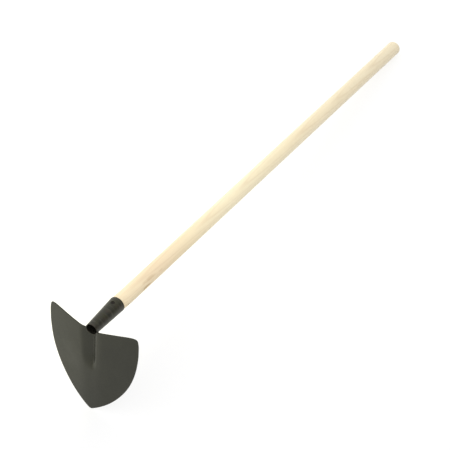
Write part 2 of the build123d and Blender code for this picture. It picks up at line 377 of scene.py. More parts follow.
blade_paint = paint("blade_paint")
socket_paint = socket_material()
weld_paint = paint("weld_paint", worn=False, dark=(0.0150, 0.0118, 0.0085), light=(0.0330, 0.0260, 0.0195), rough=0.45)
# inside of the bore and the screw hole's wall: darker, rougher steel than the paint outside, its extra darkness painted
# shade in these recesses
shaded_bore_steel = paint("shaded_bore_steel", worn=False, dark=(0.0036, 0.0036, 0.0031), light=(0.0105, 0.0098, 0.0080), rough=0.75, level=0.20)
# painted shadow line: a dark band round the last 1.25 mm of the socket's end, where it meets the handle
end_band_shade = paint("end_band_shade", worn=False, dark=(0.0040, 0.0036, 0.0026), light=(0.0085, 0.0072, 0.0050), rough=0.70, level=0.18)


# centre, half lengths and strength of the stained patches, in the turned frame
STAINS = (
    ((0.0118, -0.4035, 0.1094), (0.0042, 0.021, 0.0042), 0.30),
    ((0.0112, -0.4200, 0.1100), (0.0028, 0.010, 0.0028), 0.20),
    ((0.0146, -0.4165, 0.1010), (0.0030, 0.017, 0.0026), 0.85),
    ((0.0133, -0.3715, 0.1066), (0.0022, 0.008, 0.0022), 0.18),
)


def wood_material():
    n = Nodes("pale_wood")
    # growth rings round a pith that lies well outside the stick
    rings_at = n.put("ShaderNodeMapping", Vector=n.coord, Location=(0.062, 0.0, 0.118), Rotation=(0.012, 0.0, -0.021))
    bend = n.put("ShaderNodeTexNoise", Vector=n.stretched((6.0, 1.2, 6.0)), Scale=1.0, Detail=2.0, Roughness=0.5)
    sway = n.put("ShaderNodeVectorMath", operation="SCALE", _0=bend.outputs["Color"], Scale=0.012)
    place = n.put("ShaderNodeVectorMath", operation="ADD", _0=rings_at.outputs["Vector"], _1=sway.outputs["Vector"])
    parts = n.put("ShaderNodeSeparateXYZ", _0=place.outputs["Vector"])
    r2 = n.math("ADD", n.math("POWER", parts.outputs["X"], 2.0), n.math("POWER", parts.outputs["Z"], 2.0))
    radius = n.math("SQRT", r2)
    ring = n.math("FRACT", n.math("MULTIPLY", radius, 310.0))
    late = n.ramp(ring, (0.0, 0.15), (0.62, 0.0), (0.90, 1.0), (1.0, 0.25))
    fibre = n.noise(1.0, 5.0, 0.62, vector=n.stretched((900.0, 14.0, 900.0)))
    streak = n.noise(1.0, 3.0, 0.5, vector=n.stretched((95.0, 3.2, 95.0)))
    pale, warm, brown = (0.927, 0.853, 0.642), (0.901, 0.810, 0.583), (0.742, 0.605, 0.407)
    colour = n.mix(n.ramp(streak, (0.30, 0.0), (0.72, 1.0)), pale, warm)
    colour = n.mix(n.math("MULTIPLY", late, 0.32), colour, brown)
    colour = n.mix(n.ramp(fibre, (0.52, 0.0), (0.80, 0.35)), colour, brown)
    # painted shade along the stick: the wood is darkened towards its far end, where the light falls off, and warmer low
    # down
    axes = n.put("ShaderNodeSeparateXYZ", _0=n.coord)
    along_ = n.math("ADD", axes.outputs["Y"], 0.5)
    falloff_shade = n.ramp(
        along_, (0.04, (0.985, 0.945, 0.925)), (0.13, (0.965, 0.90, 0.872)), (0.23, (0.985, 0.950, 0.915)), (0.36, (1.0, 1.0, 1.0)),
        (0.50, (0.975, 0.975, 0.975)), (0.66, (0.945, 0.930, 0.935)), (0.80, (0.910, 0.893, 0.890)), (0.98, (0.880, 0.868, 0.880)),
    )
    colour = n.mix(1.0, colour, falloff_shade, "MULTIPLY")
    # a tan streak of mineral stain low down on the one side, ragged along the grain
    ragged = n.noise(1.0, 4.0, 0.6, vector=n.stretched((420.0, 60.0, 420.0), (0.2, 0.0, 0.6)))
    stain = None
    for centre, half, depth in STAINS:
        off = n.put("ShaderNodeVectorMath", operation="SUBTRACT", _0=n.coord)
        off.inputs[1].default_value = centre
        scaled = n.put("ShaderNodeVectorMath", operation="DIVIDE", _0=off.outputs["Vector"])
        scaled.inputs[1].default_value = half
        far = n.put("ShaderNodeVectorMath", operation="LENGTH", _0=scaled.outputs["Vector"]).outputs["Value"]
        far = n.math("MULTIPLY_ADD", ragged, 0.8, n.math("SUBTRACT", far, 0.4))
        one = n.math("MULTIPLY", n.ramp(far, (0.35, 1.0), (1.0, 0.0)), depth)
        stain = one if stain is None else n.math("MAXIMUM", stain, one)
    colour = n.mix(stain, colour, (0.52, 0.35, 0.165))
    # painted shade in the screw's hole: the wood round it is darkened to near black
    colour = n.mix(n.attribute("pit_shade"), colour, (0.030, 0.020, 0.012))
    n.set("Base Color", colour)
    n.set("Roughness", n.math("MULTIPLY_ADD", fibre, 0.2, 0.45))
    n.set("IOR", 1.45)
    n.set("Specular IOR Level", 0.25)
    n.set("Diffuse Roughness", 1.0)
    height = n.math("MULTIPLY_ADD", late, 0.4, fibre)
    n.set("Normal", n.bump(height, 0.00012))
    return n


wood = wood_material()

screw_steel = Nodes("black_screw")
spot = screw_steel.noise(1500.0, 3.0, 0.6)
screw_steel.set("Base Color", screw_steel.mix(screw_steel.ramp(spot, (0.4, 0.0), (0.7, 1.0)), (0.0110, 0.0088, 0.0052), (0.0230, 0.0180, 0.0105)))
screw_steel.set("Specular IOR Level", 0.25)
screw_steel.set("Metallic", 0.0)
screw_steel.set("Roughness", screw_steel.math("MULTIPLY_ADD", spot, 0.3, 0.35))
screw_steel.set("Normal", screw_steel.bump(spot, 0.00004))

# ---------------------------------------------------------------------------
# Blade
# ---------------------------------------------------------------------------
SHEET = 2.0
LEAN = 0.0664
LEAN_N = math.hypot(1.0, LEAN)
BAND = -0.85
SOCKET_R0, SOCKET_R1, SOCKET_L = 11.12, 14.67, 79.8
SOCKET_K = (SOCKET_R1 - SOCKET_R0) / SOCKET_L
WALL = 1.2
BEVEL, BEVEL_L = 0.65, 1.1       # inside the socket's mouth
HOLE_R = 3.6
GROOVE_Y = 79.0              # centre of the grid's bend round the channel's end

# Cross-section of the pressed channel, as slopes: a long gentle flank on the
# left, a tight bottom right of the middle, and a steep flank with a crisp lip
# on the right.
CHANNEL_SLOPES = [
    (-22.0, 0.0), (-18.0, 0.16), (-14.0, 0.33), (-9.0, 0.38), (-3.0, 0.41), (0.0, 0.42), (1.0, 0.30),
    (1.7, 0.0), (2.3, -0.50), (2.9, -0.90), (3.6, -1.05), (6.0, -1.05), (7.2, -0.92), (8.3, -0.66),
    (9.2, -0.50), (10.2, -0.38), (11.1, -0.22), (11.9, -0.10), (12.8, -0.03), (15.0, 0.0),
]
STEP = 0.05


def table():
    xs = [p[0] for p in CHANNEL_SLOPES]
    n = int(round((xs[-1] - xs[0]) / STEP))
    slopes = []
    for i in range(n + 1):
        x = xs[0] + i * STEP
        k = max(j for j in range(len(xs) - 1) if xs[j] <= x + 1e-9)
        t = (x - xs[k]) / (xs[k + 1] - xs[k])
        t = t * t * (3 - 2 * t) * 0.5 + t * 0.5
        slopes.append(CHANNEL_SLOPES[k][1] * (1 - t) + CHANNEL_SLOPES[k + 1][1] * t)
    down = sum(v for v in slopes if v > 0) * STEP
    rise = -sum(v for v in slopes if v < 0) * STEP
    slopes = [v if v > 0 else v * down / rise for v in slopes]
    out, total = [0.0], 0.0
    for a, b in zip(slopes, slopes[1:]):
        total += 0.5 * (a + b) * STEP
        out.append(total)
    shift = out[-1] / n
    return [v - shift * i for i, v in enumerate(out)]


CHANNEL = table()
CHANNEL_X0 = CHANNEL_SLOPES[0][0]
CHANNEL_D = max(CHANNEL)


def channel_section(x):
    t = (x - CHANNEL_X0) / STEP
    i = int(math.floor(t))
    if i < 0 or i >= len(CHANNEL) - 1:
        return 0.0
    # cubic through four entries keeps the slope smooth
    p0 = CHANNEL[max(i - 1, 0)]
    p1, p2 = CHANNEL[i], CHANNEL[i + 1]
    p3 = CHANNEL[min(i + 2, len(CHANNEL) - 1)]
    f = t - i
    return p1 + 0.5 * f * (p2 - p0 + f * (2 * p0 - 5 * p1 + 4 * p2 - p3 + f * (3 * (p1 - p2) + p3 - p0)))


def run_out(s):
    """1 along the channel, falling to 0 at its lower end."""
    t = min(max((s - 58.0) / 42.0, 0.0), 1.0)
    return 1 - t * t * t * (t * (6 * t - 15) + 10)


def channel(u, s):
    if s > 101:
        return 0.0
    narrow = 1 + 0.003 * (41.0 - min(max(s, 8.0), 72.0))
    return channel_section(u / narrow) * run_out(s)


# The wings are swept back, more so towards their edges; lower down the fold
# between them is rounder. Slopes again, by distance from the middle.
WING_UPPER = {
    -1: [(15.0, 0.0), (20.0, 0.05), (25.0, 0.09), (35.0, 0.125), (50.0, 0.155), (70.0, 0.18), (100.0, 0.205)],
    1: [(15.0, 0.0), (20.0, 0.10), (25.0, 0.13), (35.0, 0.143), (50.0, 0.15), (70.0, 0.155), (100.0, 0.155)],
}
WING_LOWER = {
    -1: [(5.0, 0.0), (12.0, 0.045), (20.0, 0.115), (26.0, 0.145), (40.0, 0.15), (60.0, 0.152), (100.0, 0.155)],
    1: [(8.0, 0.0), (14.0, 0.05), (20.0, 0.105), (28.0, 0.135), (40.0, 0.145), (60.0, 0.15), (100.0, 0.15)],
}


def rise(slopes, a):
    """Height at distance a of a profile given by its slopes."""
    total = 0.0
    for (x0, m0), (x1, m1) in zip(slopes, slopes[1:]):
        if a <= x0:
            break
        x = min(a, x1)
        m = m0 + (m1 - m0) * (x - x0) / (x1 - x0)
        total += 0.5 * (m0 + m) * (x - x0)
    return total


def height(u, s):
    a = abs(u)
    t = min(max((s - 50.0) / 66.0, 0.0), 1.0)
    t = t * t * (3 - 2 * t)
    side = 1 if u > 0 else -1
    return rise(WING_UPPER[side], a) * (1 - t) + rise(WING_LOWER[side], a) * t + channel(u, s)


def sheet_to_tool(u, s, h):
    return u, (s - h * LEAN) / LEAN_N, BAND + (s * LEAN + h) / LEAN_N


def sheet_s(u, y):
    s = y * LEAN_N
    for _ in range(6):
        s = y * LEAN_N + height(u, s) * LEAN
    return s


TOP_INNER, TOP_OUTER = (0.0, 4.66), (70.0, -11.38)
CORNER = [(75.88, -12.29), (80.02, -12.5), (83.5, -12.1), (86.01, -10.43), (87.4, -7.8), (88.14, -4.14)]
SIDE = [
    (88.8, 0.94), (89.08, 11.99), (88.95, 24.04), (87.75, 40.08), (85.04, 60.13), (80.61, 80.26),
    (74.02, 100.41), (64.72, 120.5), (52.23, 140.53), (35.73, 160.68), (19.33, 175.49), (7.13, 184.86),
]
TIP, DEPTH = (4.27, 186.93), 188.35
# the outline is turned about the socket and moved aside by this much
TURN, SHIFT = 0.0055, -0.5
TURN_N = math.hypot(1.0, TURN)


def laid(x, y):
    """A point of the outline's own drawing, as it lies on the blade."""
    return SHIFT + (x - TURN * y) / TURN_N, (y + TURN * x) / TURN_N


def unit(x, y):
    n = math.hypot(x, y)
    return x / n, y / n


def outline_half():
    """Right half of the outline, from the middle of the top edge to the tip."""
    d = unit(TOP_OUTER[0] - TOP_INNER[0], TOP_OUTER[1] - TOP_INNER[1])
    pts = [tuple(TOP_INNER[k] + (TOP_OUTER[k] - TOP_INNER[k]) * i / 70 for k in (0, 1)) for i in range(70)]
    pts += clamped_spline([TOP_OUTER, *CORNER, SIDE[0]], d, unit(0.10, 1.0))[:-1]
    pts += clamped_spline([*SIDE, TIP], unit(0.10, 1.0), unit(-0.8, 0.6))[:-1]
    r = (TIP[0] ** 2 + (DEPTH - TIP[1]) ** 2) / (2 * (DEPTH - TIP[1]))
    a0 = math.asin(TIP[0] / r)
    pts += [(r * math.sin(a0 * (1 - i / 16)), DEPTH - r + r * math.cos(a0 * (1 - i / 16))) for i in range(17)]
    return pts


EDGE_R = 0.55
outline = outline_half()


def inset_curve(pts, by):
    out = []
    for i, p in enumerate(pts):
        a, b = pts[max(i - 1, 0)], pts[min(i + 1, len(pts) - 1)]
        tx, ty = unit(b[0] - a[0], b[1] - a[1])
        out.append((p[0] - ty * by, p[1] + tx * by))
    out[-1] = (0.0, pts[-1][1] - by)
    return out


inner_line = inset_curve(outline, EDGE_R)
full = Curve(inner_line)
# corner: where the outline's direction is halfway between top edge and side
turn_at = min(
    range(60, len(inner_line) - 400),
    key=lambda i: abs(
        math.atan2(inner_line[i + 1][1] - inner_line[i][1], inner_line[i + 1][0] - inner_line[i][0]) - math.radians(38)
    ),
)
corner_s = full.s[turn_at]
side_length = full.length - corner_s

CORE = [0.0, 0.8, 1.6, 2.3, 3.0, 3.7, 4.4, 5.1, 5.8, 6.4, 7.0, 7.6, 8.2, 8.8, 9.3, 9.8, 10.3, 10.8, 11.3, 11.8, 12.4, 13.1, 13.9, 14.8, 15.8]
CORE_A = CORE[-1]
STRAIGHT, BEND, OUT = 66, 36, 40
J = STRAIGHT + BEND


def notch_s(u):
    """Where the sheet meets the socket, 0.3 mm inside its outer surface."""
    lo, hi = -4.0, 20.0
    for _ in range(50):
        s = 0.5 * (lo + hi)
        x, y, z = sheet_to_tool(u, s, height(u, s))
        x -= TUBE_X - TILT * z
        if y > 0 and math.hypot(x, y) > SOCKET_R0 - 0.3 + SOCKET_K * z:
            hi = s
        else:
            lo = s
    return 0.5 * (lo + hi)


TOP_SLOPE = (TOP_OUTER[1] - TOP_INNER[1]) / 70
TOP_LEVEL = TOP_INNER[1] + EDGE_R * math.hypot(1.0, TOP_SLOPE)


def top_edge(u, side):
    """Start of the sheet at u, and whether that is at the socket."""
    # the inset top edge, turned with the outline
    x = (u - SHIFT) * TURN_N
    for _ in range(4):
        own = TOP_LEVEL + TOP_SLOPE * abs(x)
        x = (u - SHIFT) * TURN_N + TURN * own
    line = sheet_s(u, laid(x, own)[1])
    if abs(u - TUBE_X) < SOCKET_R0 - 0.2:
        seat = notch_s(u)
        if seat > line:
            return seat, True
    return line, False


# place a column on each side where the top edge and the socket meet
CORES = {}
for side in (1, -1):
    lo, hi = 8.0, SOCKET_R0 - 0.31 + side * TUBE_X
    for _ in range(40):
        mid = 0.5 * (lo + hi)
        if top_edge(side * mid, side)[1]:
            lo = mid
        else:
            hi = mid
    own_core = list(CORE)
    k = min(range(len(CORE)), key=lambda i: abs(CORE[i] - lo))
    own_core[k] = lo
    CORES[side] = own_core

# outer stations, closer at the corner and at the tip
stations = []
cum, n_fine = [0.0], 2000
for i in range(n_fine):
    s = side_length * (i + 0.5) / n_fine
    spacing = min(0.75 + 0.09 * s, 2.7, 0.7 + 0.16 * (side_length - s))
    cum.append(cum[-1] + (side_length / n_fine) / spacing)
for j in range(J + 1):
    want = cum[-1] * j / J
    i = 0
    lo_, hi_ = 0, n_fine
    while hi_ - lo_ > 1:
        m = (lo_ + hi_) // 2
        if cum[m] <= want:
            lo_ = m
        else:
            hi_ = m
    w = (want - cum[lo_]) / (cum[hi_] - cum[lo_])
    stations.append(corner_s + side_length * (lo_ + w) / n_fine)


def core_point(i, j, side):
    a = CORES[side][i]
    start = top_edge(side * a, side)[0]
    if j <= STRAIGHT:
        f = j / STRAIGHT
        return side * a, start + (GROOVE_Y - start) * (1 - (1 - f) ** 1.12)
    angle = math.pi / 2 * (j - STRAIGHT) / BEND
    return side * a * math.cos(angle), GROOVE_Y + a * math.sin(angle)


def edge_point(at_s, side):
    x, y = full(at_s)
    x, y = laid(side * x, y)
    return x, sheet_s(x, y)


# length along the inset top edge where the core ends
start_s = min((s for s in full.s if s < corner_s), key=lambda s: abs(full(s)[0] - CORE_A))


def half_grid(side):
    outer = [edge_point(stations[j], side) for j in range(J + 1)]
    core_end = [core_point(len(CORE) - 1, j, side) for j in range(J + 1)]
    rows = []
    for i in range(len(CORE)):
        rows.append([core_point(i, j, side) for j in range(J + 1)])
    for k in range(1, OUT + 1):
        f = (k / OUT) ** 1.22
        top = edge_point(start_s + (corner_s - start_s) * f, side)
        row = []
        for j in range(J + 1):
            v = (1 - j / J) ** 3
            px = (1 - f) * core_end[j][0] + f * outer[j][0]
            py = (1 - f) * core_end[j][1] + f * outer[j][1]
            qx = (1 - f) * core_end[0][0] + f * outer[0][0]
            qy = (1 - f) * core_end[0][1] + f * outer[0][1]
            row.append((px + v * (top[0] - qx), py + v * (top[1] - qy)))
        rows.append(row)
    return rows


def surface(u, s):
    """Outer face point and its normal towards the back, in sheet coordinates."""
    e = 0.02
    h = height(u, s)
    hu = (height(u + e, s) - height(u - e, s)) / (2 * e)
    hs = (height(u, s + e) - height(u, s - e)) / (2 * e)
    n = Vector((-hu, -hs, 1.0)).normalized()
    return Vector((u, s, h)), n


def build_blade():
    index = {}
    where = []
    for side in (1, -1):
        rows = half_grid(side)
        for i, row in enumerate(rows):
            for j, (u, s) in enumerate(row):
                if side < 0 and (i == 0 or j == J):
                    index[side, i, j] = index[1, i, j]
                    continue
                if i == 0 and j > STRAIGHT:
                    index[side, i, j] = index[1, 0, STRAIGHT]
                    continue
                index[side, i, j] = len(where)
                where.append((u, s))
    front, back = [], []
    for u, s in where:
        p, n = surface(u, s)
        front.append(p)
        back.append(p + n * SHEET)
    points = front + back
    shift = len(front)
    faces = []
    for side in (1, -1):
        for i in range(len(rows) - 1):
            for j in range(J):
                ring = []
                for key in ((i, j), (i, j + 1), (i + 1, j + 1), (i + 1, j)):
                    v = index[side, key[0], key[1]]
                    if v not in ring:
                        ring.append(v)
                if side < 0:
                    ring.reverse()
                faces.append(tuple(ring))
                faces.append(tuple(v + shift for v in reversed(ring)))
    # boundary, once round: right top edge outwards, side to the tip, and back
    loop = [(1, i, 0) for i in range(len(rows))] + [(1, len(rows) - 1, j) for j in range(1, J + 1)]
    loop += [(-1, len(rows) - 1, j) for j in range(J - 1, -1, -1)] + [(-1, i, 0) for i in range(len(rows) - 2, 0, -1)]
    ids = [index[k] for k in loop]
    n = len(ids)
    # outward directions in the face
    outward = []
    for k in range(n):
        a, b = where[ids[k - 1]], where[ids[(k + 1) % n]]
        tx, ty = unit(b[0] - a[0], b[1] - a[1])
        side, i, j = loop[k]
        outward.append((ty, -tx))
    strips = [ids]
    steps = 5
    profile = []
    for q in range(1, steps + 1):
        phi = math.pi / 2 * q / steps
        profile.append((EDGE_R * (1 - math.cos(phi)), EDGE_R * math.sin(phi)))
    for q in range(steps, 0, -1):
        phi = math.pi / 2 * q / steps
        profile.append((SHEET - EDGE_R * (1 - math.cos(phi)), EDGE_R * math.sin(phi)))
    for depth, reach in profile:
        ring = []
        for k in range(n):
            u, s = where[ids[k]]
            p, nn = surface(u, s)
            m = Vector((outward[k][0], outward[k][1], 0.0))
            m = (m - nn * m.dot(nn)).normalized()
            points.append(p + nn * depth + m * reach)
            ring.append(len(points) - 1)
        strips.append(ring)
    strips.append([v + shift for v in ids])
    for one, two in zip(strips, strips[1:]):
        for k in range(n):
            faces.append((one[k], two[k], two[(k + 1) % n], one[(k + 1) % n]))
    # distance from the outline, for the rubbed edges
    tree = kdtree.KDTree(n * 1)
    for k in range(n):
        u, s = where[ids[k]]
        tree.insert(Vector((u, s, 0)), k)
    tree.balance()
    rim = []
    for p in points:
        d = tree.find(Vector((p[0], p[1], 0)))[2]
        near_socket = math.hypot(p[0] - TUBE_X, p[1]) < SOCKET_R0 + 3
        rim.append(0.0 if near_socket else max(0.0, 1.0 - d / 1.6))
    placed = [at(*sheet_to_tool(*p)) for p in points]
    heat = []
    for p in points:
        x, y, z = sheet_to_tool(*p)
        d = math.hypot(x - TUBE_X + TILT * z, y) - outer_r(z)
        heat.append(math.exp(-max(d, 0.0) / 3.2) if d < 20 else 0.0)
    return mesh_piece("blade_skin", placed, faces, blade_paint.mat, {"rim": rim, "heat": heat}, "blade")


def outer_r(z):
    return SOCKET_R0 + SOCKET_K * z


blade = build_blade()

# ---------------------------------------------------------------------------
# Socket: tapered tube with rounded ends and a hole for the screw
# ---------------------------------------------------------------------------
SCREW_Z = 64.4


MOUTH_FADE = 12.0                # the rings straighten up over this length


def above_mouth(p):
    """Distance of a point, in metres, behind the plane of the mouth."""
    q = (p - MOUTH) / MM
    return (q.dot(ALONG) - BAND - LEAN * q.dot(HANG)) / LEAN_N


def build_socket():
    seg = 144
    g = Grid()
    half_cells = 9                                   # patch half width, in cells round the tube
    patch = 6.0                                      # patch half length
    lip, end_lip = 0.42, 0.55                        # rounding of the two ends
    rows = []
    count, count_end = 36, 6
    for k in range(count):
        rows.append(lip + (SCREW_Z - patch - lip) * k / count)
    for k in range(2 * half_cells):
        rows.append(SCREW_Z - patch + 2 * patch * k / (2 * half_cells))
    for k in range(count_end + 1):
        rows.append(SCREW_Z + patch + (SOCKET_L - 1.25 - SCREW_Z - patch) * k / count_end)
    rows.append(SOCKET_L - end_lip)
    patch_lo, patch_hi = count, count + 2 * half_cells

    def angle(k):
        return 2 * math.pi * k / seg

    def on(r, a, zz):
        # a from the top side (away from the blade) towards +x; the mouth is
        # ground flush with the blade's face, so the rings near it lean
        w = max(0.0, 1 - max(zz, 0.0) / MOUTH_FADE) ** 2
        z2 = zz + w * (BAND - LEAN * r * math.cos(a))
        r2 = r + outer_r(z2) - outer_r(zz)
        return tube_at(r2 * math.sin(a), -r2 * math.cos(a), z2)

    def ring(r, zz):
        return [g.add(on(r, angle(k), zz)) for k in range(seg)]

    def inside_patch(k):
        return (k + half_cells) % seg < 2 * half_cells

    def wall(rings):
        for i, (one, two) in enumerate(zip(rings, rings[1:])):
            for k in range(seg):
                if not (one and two) or patch_lo <= i < patch_hi and inside_patch(k):
                    continue
                g.quad(one[k], one[(k + 1) % seg], two[(k + 1) % seg], two[k])

    outer_rings = [ring(outer_r(zz), zz) for zz in rows]
    wall(outer_rings)
    # boundary of the patch round the hole, once round, from its low corner
    lim = [(k, patch_lo) for k in range(-half_cells, half_cells)]
    lim += [(half_cells, i) for i in range(patch_lo, patch_hi)]
    lim += [(k, patch_hi) for k in range(half_cells, -half_cells, -1)]
    lim += [(-half_cells, i) for i in range(patch_hi, patch_lo, -1)]
    bound = [(angle(k), rows[i]) for k, i in lim]
    turns = [math.atan2(zz - SCREW_Z, a * outer_r(SCREW_Z)) for a, zz in bound]

    def surf_circle(r, t, drop=0.0):
        x, zz = r * math.cos(t), SCREW_Z + r * math.sin(t)
        return x, zz, math.sqrt(outer_r(zz) ** 2 - x * x) - drop

    prev = [outer_rings[i][k % seg] for k, i in lim]
    steps = 7
    edge = 0.30                                      # rounding of the hole's edge
    start_r = HOLE_R + edge
    for q in range(1, steps + 1):
        f = 1 - (1 - q / steps) ** 1.25
        cur = []
        for (a, zz), t in zip(bound, turns):
            x1, z1, h1 = surf_circle(start_r, t)
            a1 = math.asin(x1 / outer_r(z1))
            aa, zz2 = a + (a1 - a) * f, zz + (z1 - zz) * f
            cur.append(g.add(on(outer_r(zz2), aa, zz2)))
        g.strip(prev, cur)
        prev = cur
    # rounded edge, then the wall of the hole
    for q in range(1, 6):
        phi = math.pi / 2 * q / 5
        cur = []
        for t in turns:
            x, zz, h = surf_circle(start_r - edge * math.sin(phi), t, edge * (1 - math.cos(phi)))
            cur.append(g.add(tube_at(x, -h, zz)))
        g.strip(prev, cur)
        prev = cur
    hole_inner = []
    for t in turns:
        x, zz = HOLE_R * math.cos(t), SCREW_Z + HOLE_R * math.sin(t)
        h = math.sqrt((outer_r(zz) - WALL) ** 2 - x * x)
        hole_inner.append(g.add(tube_at(x, -h, zz)))
    g.strip(prev, hole_inner)
    # inner wall: the same layout
    inner_rings = [ring(outer_r(zz) - WALL, zz) if zz > BEVEL_L else None for zz in rows]
    live = [r for r in inner_rings if r]
    wall(inner_rings)
    prev = [inner_rings[i][k % seg] for k, i in lim]
    for q in range(1, 4):
        f = q / 4
        cur = []
        for (a, zz), t in zip(bound, turns):
            x1, z1 = HOLE_R * math.cos(t), SCREW_Z + HOLE_R * math.sin(t)
            a1 = math.asin(x1 / (outer_r(z1) - WALL))
            aa, zz2 = a + (a1 - a) * f, zz + (z1 - zz) * f
            cur.append(g.add(on(outer_r(zz2) - WALL, aa, zz2)))
        g.strip(prev, cur)
        prev = cur
    g.strip(prev, hole_inner)
    # mouth: small outer rounding, then the bevel inside
    prev = outer_rings[0]
    for q in range(1, 5):
        phi = math.pi / 2 * q / 4
        cur = ring(outer_r(0) - lip + lip * math.cos(phi), lip - lip * math.sin(phi))
        g.strip(prev, cur)
        prev = cur
    for r_, z_ in ((outer_r(0) - WALL + BEVEL + 0.02, 0.03), (outer_r(0) - WALL + BEVEL * 0.55, 0.50), (outer_r(BEVEL_L) - WALL, BEVEL_L)):
        cur = ring(r_, z_)
        g.strip(prev, cur)
        prev = cur
    g.strip(prev, live[0])
    # the other end, rounded on both sides
    prev = outer_rings[-1]
    for q in range(1, 5):
        phi = math.pi / 2 * q / 4
        cur = ring(outer_r(SOCKET_L) - end_lip + end_lip * math.cos(phi), SOCKET_L - end_lip + end_lip * math.sin(phi))
        g.strip(prev, cur)
        prev = cur
    inner = outer_r(SOCKET_L) - WALL
    for q in range(0, 5):
        phi = math.pi / 2 * q / 4
        cur = ring(inner + end_lip - end_lip * math.sin(phi), SOCKET_L - end_lip + end_lip * math.cos(phi))
        g.strip(prev, cur)
        prev = cur
    g.strip(prev, live[-1])
    # drop the points inside the patch that no face uses
    used = sorted({v for f in g.faces for v in f})
    remap = {v: i for i, v in enumerate(used)}
    pts = [g.points[v] for v in used]
    faces = [tuple(remap[v] for v in f) for f in g.faces]
    rimv, heat = [], []
    for p in pts:
        rr, zz = in_tube(p)
        deep = above_mouth(p)
        d = min(abs(zz - SOCKET_L), abs(deep))
        rimv.append(max(0.0, 1 - d / 1.2) if rr > outer_r(zz) - 0.8 else 0.0)
        heat.append(math.exp(-max(deep - 2.5, 0.0) / 5.0))
    ob = mesh_piece("socket_tube", pts, faces, socket_paint.mat, {"rim": rimv, "heat": heat}, "socket")
    ob.data.materials.append(shaded_bore_steel.mat)
    ob.data.materials.append(end_band_shade.mat)
    for f in ob.data.polygons:
        c = Vector((0, 0, 0))
        for v in f.vertices:
            c += ob.data.vertices[v].co
        c /= len(f.vertices)
        rr, zz = in_tube(c)
        deep = above_mouth(c)
        # faces inside the bore and the wall of the screw's hole take the darker steel, painted shade
        hole = abs(zz - SCREW_Z) < HOLE_R + 0.4 and rr < outer_r(zz) - 0.12
        if deep > BEVEL_L and rr < outer_r(zz) - WALL + 0.25 or hole:
            f.material_index = 1
        # the dark band at the handle end, a painted shadow line
        elif zz > SOCKET_L - 1.25:
            f.material_index = 2
    return ob


socket = build_socket()

# ---------------------------------------------------------------------------
# Handle
# ---------------------------------------------------------------------------
HANDLE_R, HANDLE_TOP, HANDLE_LOW = 14.0, 1120.0, 24.0


def bore(z):
    return SOCKET_R0 - WALL + SOCKET_K * z


def build_handle():
    profile = [(0.0, HANDLE_LOW), (2.0, HANDLE_LOW), (5.0, HANDLE_LOW), (bore(HANDLE_LOW) - 1.5, HANDLE_LOW)]
    profile += [(bore(z) - 0.02, z) for z in (25.5, 32, 40, 50, 57)]
    profile += [(bore(z) - 0.02, z) for z in (SCREW_Z - 6.0 + 0.75 * k for k in range(17))]
    profile += [(bore(z) - 0.02, z) for z in (74.5, SOCKET_L)]
    z0, z1 = SOCKET_L, 92.0
    r0, r1 = bore(z0) - 0.02, HANDLE_R
    for k in range(1, 13):
        t = k / 12
        h = t * t * (3 - 2 * t)
        slope = SOCKET_K * (z1 - z0) * (t**3 - 2 * t**2 + t)
        profile.append((r0 + (r1 - r0) * h + slope, z0 + (z1 - z0) * t))
    z = 92.0
    while z + 14 < HANDLE_TOP - 10:
        z += 13.0
        profile.append((HANDLE_R, z))
    profile += [(HANDLE_R, HANDLE_TOP - 6), (HANDLE_R, HANDLE_TOP - 3)]
    for k in range(1, 9):
        phi = math.pi / 2 * k / 8
        profile.append((HANDLE_R - 3 + 3 * math.cos(phi), HANDLE_TOP - 3 + 3 * math.sin(phi)))
    profile += [(8.5, HANDLE_TOP), (6.0, HANDLE_TOP), (3.5, HANDLE_TOP), (1.5, HANDLE_TOP), (0.0, HANDLE_TOP)]
    seg = 96
    g = Grid()
    rings, pit_shade = [], []
    for r, zz in profile:
        # inside the socket the stick follows the socket's axis
        t = min(max((zz - SOCKET_L) / 20.0, 0.0), 1.0)
        aside = TUBE_X - TILT * min(zz, SOCKET_L)
        lean_ = -TILT
        if t > 0:
            aside, lean_ = (
                aside * (2 * t**3 - 3 * t**2 + 1) - TILT * 20.0 * (t**3 - 2 * t**2 + t),
                -TILT * (1 - t) ** 2,
            )
        if r == 0.0:
            v = g.add(at(aside, 0, zz))
            pit_shade.append(0.0)
            rings.append([v] * seg)
            continue
        ring = []
        for k in range(seg):
            x, y = r * math.sin(2 * math.pi * k / seg), -r * math.cos(2 * math.pi * k / seg)
            # mask for the painted shade: the wood round the screw's hole
            pit_shade.append(1.0 if y < 0 and math.hypot(x, zz - SCREW_Z) < 6.5 else 0.0)
            if y < 0 and math.hypot(x, zz - SCREW_Z) < 4.4:
                y = -6.0                             # the screw's hole
            ring.append(g.add(at(aside + x, y, zz - lean_ * x)))
        rings.append(ring)
    for one, two in zip(rings, rings[1:]):
        g.strip(one, two)
    return mesh_piece("handle_stick", g.points, g.faces, wood.mat, {"pit_shade": pit_shade}, "handle")


handle = build_handle()

# ---------------------------------------------------------------------------
# Weld: a rippled bead round the back of the socket, its ends turned forwards
# over the blade's top edge
# ---------------------------------------------------------------------------
WELD_R, WELD_OUT = 2.1, 0.55


def sheet_depth(x, y, over):
    s = y * LEAN_N
    for _ in range(8):
        hu = (height(x + 0.05, s) - height(x - 0.05, s)) / 0.1
        h = height(x, s) + over * math.hypot(1.0, hu)
        s = y * LEAN_N + h * LEAN
    return BAND + (s * LEAN + h) / LEAN_N


def weld_spot(angle, over, lift):
    ca, sa = math.cos(math.radians(angle)), math.sin(math.radians(angle))
    z = 5.0
    for _ in range(12):
        r = outer_r(z)
        cx = TUBE_X - TILT * z
        z = sheet_depth(cx + r * ca, r * sa, over)
    return Vector((cx + (r + WELD_OUT) * ca, (r + WELD_OUT) * sa, z + lift))


